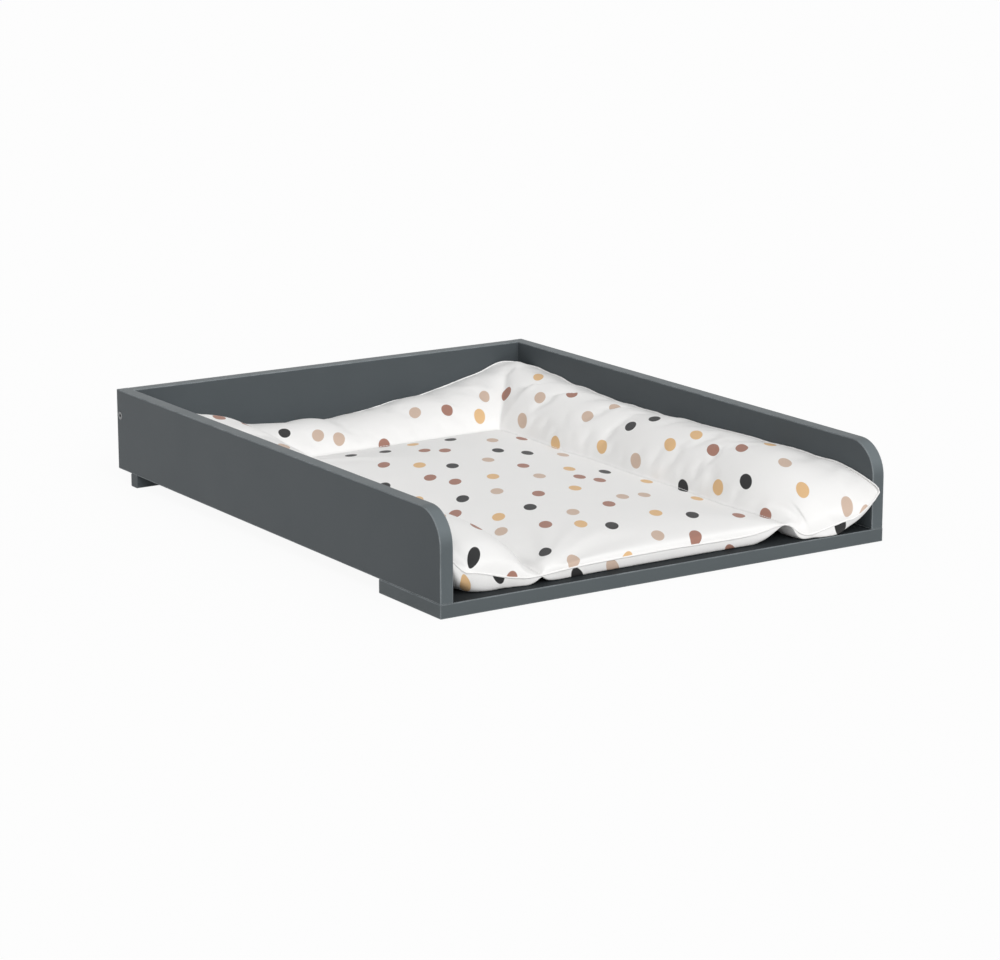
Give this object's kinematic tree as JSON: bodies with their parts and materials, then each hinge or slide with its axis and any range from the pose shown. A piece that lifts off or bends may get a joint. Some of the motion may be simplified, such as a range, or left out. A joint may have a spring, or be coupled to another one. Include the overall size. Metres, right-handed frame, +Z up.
{
  "type": "changing top",
  "caption": "Open melamine frame that turns an appliance or cabinet top into a baby changing place, with a loose wedge pad that lies between its sides.",
  "frame": {"origin": "bottom centre of the frame, on the surface that the front board and the batten stand on", "axes": "+X to the right seen from the open front, +Y from the open front to the back panel, +Z up"},
  "size_m": [0.6, 0.75, 0.116],
  "materials": {
    "board": "chipboard with a matt anthracite melamine face",
    "edge_band": "anthracite plastic edge band, eased and slightly smoother than the faces",
    "screw": "zinc-plated connector screw",
    "dowel": "raw beech dowel",
    "pad_cover": "white wipe-clean coated cotton with scattered dots"
  },
  "bodies": {
    "frame": {"left_side_panel": "board", "right_side_panel": "board", "back_panel": "board", "front_board": "board", "rear_batten": "board", "left_side_edge_band": "edge_band", "right_side_edge_band": "edge_band", "back_panel_edge_bands": "edge_band", "front_board_edge_band": "edge_band", "corner_screws": "screw", "corner_dowels": "dowel", "front_board_screws": "screw", "rear_batten_screws": "screw"},
    "pad": {"pad_centre": "pad_cover", "pad_left_bolster": "pad_cover", "pad_right_bolster": "pad_cover", "pad_back_bolster": "pad_cover"}
  },
  "joints": [
    {"name": "pad_lift", "type": "slide", "parent": "frame", "child": "pad", "axis": [0, 0, 1], "range_m": [0, 0.15]}
  ]
}
